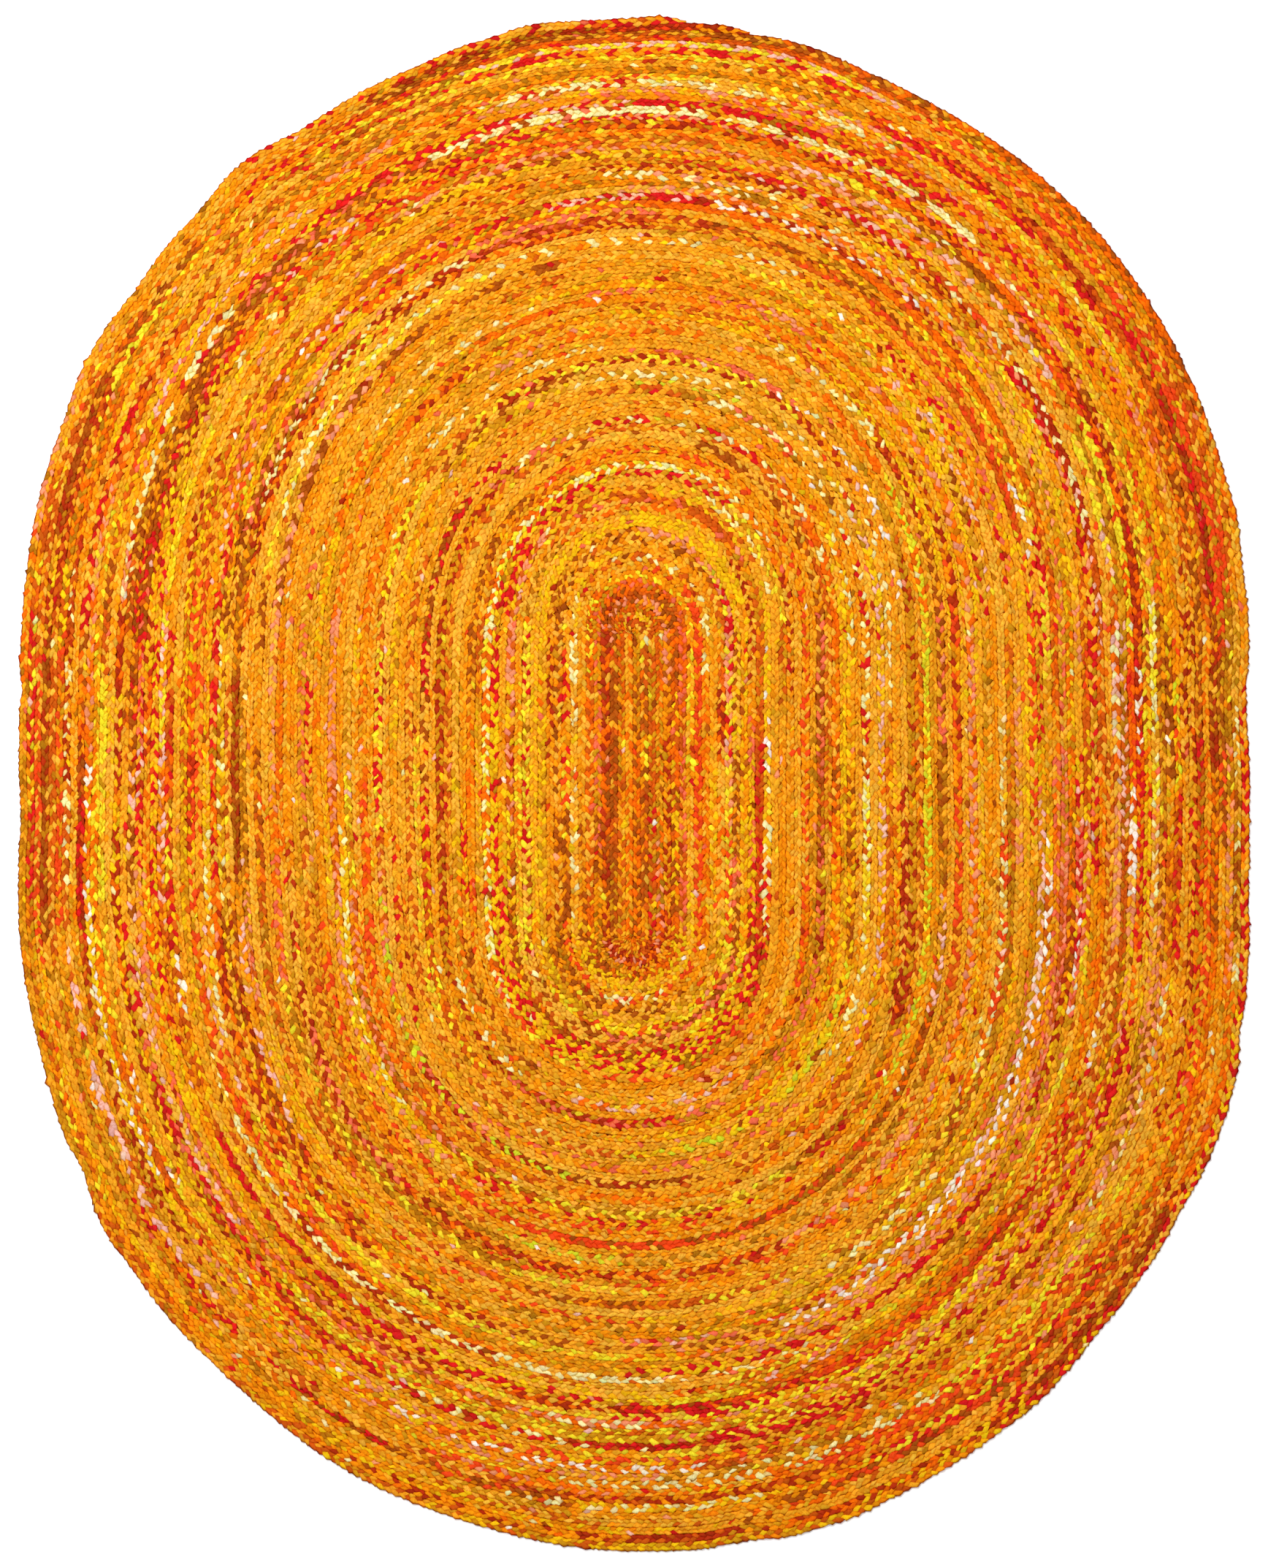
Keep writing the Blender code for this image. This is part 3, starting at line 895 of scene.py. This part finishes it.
class ClothNodes:
    """Short ways to add nodes to one material. Each returns the output to go on from."""

    def __init__(self, material):
        self.tree = material.node_tree
        self.tree.nodes.clear()

    def node(self, kind, **settings):
        """A node of this kind with these settings."""
        made = self.tree.nodes.new(kind)
        for key, value in settings.items():
            setattr(made, key, value)
        return made

    def feed(self, socket, value):
        """Links a socket to another node's output, or sets it to a number or a colour."""
        if isinstance(value, (int, float, tuple)):
            socket.default_value = value
        else:
            self.tree.links.new(value, socket)

    def math(self, operation, *values):
        """One arithmetic step on one or two values."""
        made = self.node("ShaderNodeMath", operation=operation)
        for socket, value in zip(made.inputs, values):
            self.feed(socket, value)
        return made.outputs[0]

    def sum(self, first, *others):
        """All values added up."""
        for value in others:
            first = self.math("ADD", first, value)
        return first

    def spread(self, value, low, high, to_low, to_high):
        """A smooth step: to_low up to low, to_high from high on, and an S curve between."""
        made = self.node("ShaderNodeMapRange", interpolation_type="SMOOTHSTEP")
        numbers = {
            "Value": value, "From Min": low, "From Max": high, "To Min": to_low, "To Max": to_high,
        }
        for key, number in numbers.items():
            self.feed(made.inputs[key], number)
        return made.outputs["Result"]

    def fade(self, name, value):
        """How far a dark place is reached: nought where it begins, rising or falling to its most."""
        begins, complete, most = FADES[name]
        if begins < complete:
            return self.spread(value, begins, complete, 0.0, most)
        return self.spread(value, complete, begins, most, 0.0)

    def darken(self, colour, amount, tint):
        """A colour multiplied by a tint, as far as the amount says."""
        made = self.node("ShaderNodeMix", data_type="RGBA", blend_type="MULTIPLY")
        # Of this node's sockets, 0 is the factor, and 6 and 7 are the two colours.
        for socket, value in zip((0, 6, 7), (amount, colour, tint)):
            self.feed(made.inputs[socket], value)
        return made.outputs[2]

    def attribute(self, name):
        """The node that reads one of the mesh's own attributes."""
        return self.node("ShaderNodeAttribute", attribute_type="GEOMETRY", attribute_name=name)

    def noise(self, where, name):
        """One of the noises over the cloth."""
        made = self.node("ShaderNodeTexNoise")
        self.feed(made.inputs["Vector"], where)
        for key, number in zip(("Scale", "Detail", "Roughness"), NOISES[name]):
            made.inputs[key].default_value = number
        return made.outputs["Fac"]

    def holes(self, where):
        """Small holes here and there: round the points of a cell pattern, weaker further off."""
        cells = self.node("ShaderNodeTexVoronoi", feature="F1")
        self.feed(cells.inputs["Vector"], where)
        cells.inputs["Scale"].default_value = HOLE_CELLS
        cells.inputs["Randomness"].default_value = HOLE_STRAY
        return self.fade("hole", cells.outputs["Distance"])


def cushion_rim(make, along_lobe, over_lobe, uneven):
    """How near a point is to its lobe's rim: nought in the middle and about one on the rim.

    It is the sum of the cubes of the shares of the way out, along the lobe and over it. It places the painted
    shade that rounds the lobe, and that in its creases and pockets.
    """
    shares = []
    for measure, (middle, half) in ((along_lobe, CUSHION_ALONG), (over_lobe, CUSHION_OVER)):
        share = make.math("DIVIDE", make.math("SUBTRACT", measure, middle), half)
        shares.append(make.math("POWER", make.math("ABSOLUTE", share), CUSHION_POWER))
    return make.sum(*shares, uneven)


def lobe_folds(make, over_lobe, bend, own_number):
    """Folds along a lobe, a few side by side, as a sine wave over it, and how deep they are.

    Each lobe's own number shifts its wave, and on some lobes the folds are deep.
    """
    wavy = make.sum(
        make.math("MULTIPLY", over_lobe, FOLDS_OVER_LOBE), make.math("MULTIPLY", bend, FOLD_BEND))
    fold = make.math("SINE", make.sum(wavy, make.math("MULTIPLY", own_number, FOLD_SHIFT)))
    turned = make.math("FRACT", make.math("MULTIPLY", own_number, RUCHED_TURNS))
    return fold, make.spread(turned, *RUCHED_FROM, RUCHED_LEAST, 1.0)


def painted_shade_places(make, along_lobe, low, rim, uneven, noises):
    """How far each point lies in the shade, in a crease, in a seam and so on, from 0 to 1.

    Beyond a lobe's rim, and where the plait is low, lie the creases. All of these are painted shade, and the
    seam between two plaits is darker still, with frayed edges: fibres and painted shade broken up by a fibre
    noise.
    """
    fade = make.fade
    uneven_height = make.math("MULTIPLY", uneven, UNEVEN_HEIGHT)
    lowness = make.math("SUBTRACT", 1.0, make.sum(low, uneven_height))
    patchy = make.math("SUBTRACT", noises["patchy"], 0.5)
    ragged = make.sum(
        make.math("MULTIPLY", uneven, SEAM_UNEVEN), make.math("MULTIPLY", patchy, SEAM_PATCHY))
    return {
        "shade": make.math("MAXIMUM", fade("shade by rim", rim), fade("shade by lowness", lowness)),
        "crease": make.math("MAXIMUM", fade("crease shade by rim", rim), fade("crease shade by lowness", lowness)),
        "seam": fade("seam", make.sum(along_lobe, ragged)),
        "fray_and_seam_shade": make.math(
            "MULTIPLY", fade("fray along lobe", along_lobe), fade("fray by fibre", noises["fibre"])),
        "pocket_shade": fade("pocket_shade", rim),
    }


def cotton_rag_material():
    """Worn cotton rag: the lobe's own colour, folds along it, fine weave, needle holes, creases, and painted
    shade over each lobe's sides, in its fold troughs, creases and pockets, and in the seams.
    """
    material = bpy.data.materials.new("cotton_rag")
    material.use_nodes = True
    make = ClothNodes(material)
    rag = make.attribute("rag")
    low = make.attribute("height").outputs["Fac"]
    lobe = make.node("ShaderNodeSeparateXYZ")
    make.feed(lobe.inputs[0], make.node("ShaderNodeUVMap", uv_map="lobe").outputs["UV"])
    along_lobe, over_lobe = lobe.outputs["X"], lobe.outputs["Y"]
    where = make.node("ShaderNodeTexCoord").outputs["Object"]
    noises = {name: make.noise(where, name) for name in NOISES}

    uneven = make.math("MULTIPLY", make.math("SUBTRACT", noises["bend"], 0.5), UNEVEN)
    rim = cushion_rim(make, along_lobe, over_lobe, uneven)
    fold, ruched = lobe_folds(make, over_lobe, noises["bend"], rag.outputs["Alpha"])
    dark = {
        "patch": make.fade("patch", noises["patchy"]),
        # painted shade in the fold troughs, deepest on ruched lobes
        "fold": make.math("MULTIPLY", make.fade("fold", fold), ruched),
        "grain": make.fade("grain", noises["grain"]),
        **painted_shade_places(make, along_lobe, low, rim, uneven, noises),
        "hole": make.holes(where),
    }
    colour = rag.outputs["Color"]
    for name, amount in dark.items():
        colour = make.darken(colour, amount, DARKER[name])

    relief = {
        "fold": make.math("MULTIPLY", fold, ruched), "grain": noises["grain"],
        "patchy": noises["patchy"], "hole": dark["hole"], "crease": dark["crease"],
    }
    bump = make.node("ShaderNodeBump")
    bump.inputs["Strength"].default_value = BUMP_STRENGTH
    bump.inputs["Distance"].default_value = BUMP_DEPTH
    make.feed(bump.inputs["Height"], make.sum(
        *(make.math("MULTIPLY", relief[name], amount) for name, amount in RELIEF.items())))

    shader = make.node("ShaderNodeBsdfPrincipled")
    shader.inputs["Specular IOR Level"].default_value = SHINE
    make.feed(shader.inputs["Base Color"], colour)
    roughness = make.spread(noises["patchy"], *ROUGHNESS_FROM, *ROUGHNESS)
    make.feed(shader.inputs["Roughness"], roughness)
    make.feed(shader.inputs["Normal"], bump.outputs["Normal"])
    output = make.node("ShaderNodeOutputMaterial")
    make.feed(output.inputs["Surface"], shader.outputs["BSDF"])
    return material


# -------- floor, light and camera

# Lamp and camera are set so that the rug has the photograph's light and fills its frame.
FLOOR_HALF = 12.0
FLOOR_WHITE = (0.93, 0.93, 0.93, 1)
FLOOR_ROUGHNESS = 0.9
SKY_STRENGTH = 0.72
LAMP_SIDE = 3.5
LAMP_POWER = 330
LAMP_PLACE = (-1.5, 2.2, 5.0)
CAMERA_HEIGHT = 12.0
CAMERA_REACH = 60
VIEW_HEIGHT = 3.099
SENSOR = 36.0


def add_floor():
    """A wide white floor under the rug."""
    mesh = bpy.data.meshes.new("floor")
    corners = [(x * FLOOR_HALF, y * FLOOR_HALF, 0) for x, y in ((-1, -1), (1, -1), (1, 1), (-1, 1))]
    mesh.from_pydata(corners, [], [(0, 1, 2, 3)])
    floor = bpy.data.objects.new("floor", mesh)
    bpy.context.scene.collection.objects.link(floor)
    paint = bpy.data.materials.new("floor_white")
    paint.use_nodes = True
    shader = paint.node_tree.nodes["Principled BSDF"]
    shader.inputs["Base Color"].default_value = FLOOR_WHITE
    shader.inputs["Roughness"].default_value = FLOOR_ROUGHNESS
    mesh.materials.append(paint)


def add_light():
    """An even white sky, and a large soft lamp overhead that faces the rug's middle."""
    world = bpy.data.worlds.new("studio")
    bpy.context.scene.world = world
    world.use_nodes = True
    sky = world.node_tree.nodes["Background"]
    sky.inputs["Color"].default_value = (1, 1, 1, 1)
    sky.inputs["Strength"].default_value = SKY_STRENGTH
    lamp = bpy.data.lights.new("softbox", "AREA")
    lamp.shape = "RECTANGLE"
    lamp.size = LAMP_SIDE
    lamp.size_y = LAMP_SIDE
    lamp.energy = LAMP_POWER
    softbox = bpy.data.objects.new("softbox", lamp)
    x, y, z = LAMP_PLACE
    softbox.location = LAMP_PLACE
    softbox.rotation_euler = (np.arctan2(-y, z), np.arctan2(x, z), 0)
    bpy.context.scene.collection.objects.link(softbox)


def add_camera():
    """Straight above the middle, with a long lens that takes in the photograph's frame."""
    data = bpy.data.cameras.new("camera")
    data.sensor_width = SENSOR
    data.lens = SENSOR * CAMERA_HEIGHT / VIEW_HEIGHT
    data.clip_end = CAMERA_REACH
    camera = bpy.data.objects.new("camera", data)
    camera.location = (0, 0, CAMERA_HEIGHT)
    bpy.context.scene.collection.objects.link(camera)
    bpy.context.scene.camera = camera


# -------- the rug

SEED = 20

add_camera()
add_light()
add_floor()
bpy.context.scene.view_settings.view_transform = "Standard"

rng = np.random.default_rng(SEED)
plaits = [build_plait(rng, which, *row) for which, row in enumerate(PLAITS.values())]
lay_stripes(rng, plaits)
for plait in plaits:
    plait["rags"] = twist_lobes(rng, plait["rags"])
    plait["colours"] = lobe_colours(rng, plait["rags"])

cloth = cotton_rag_material()
for k, (from_lap, to_lap) in enumerate(zip(RINGS, RINGS[1:])):
    ring, rounds, total = build_ring(f"braid_ring_{k + 1}", from_lap, to_lap, plaits)
    ring.data.materials.append(cloth)
    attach(ring, "root")
    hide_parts("braided_rug")
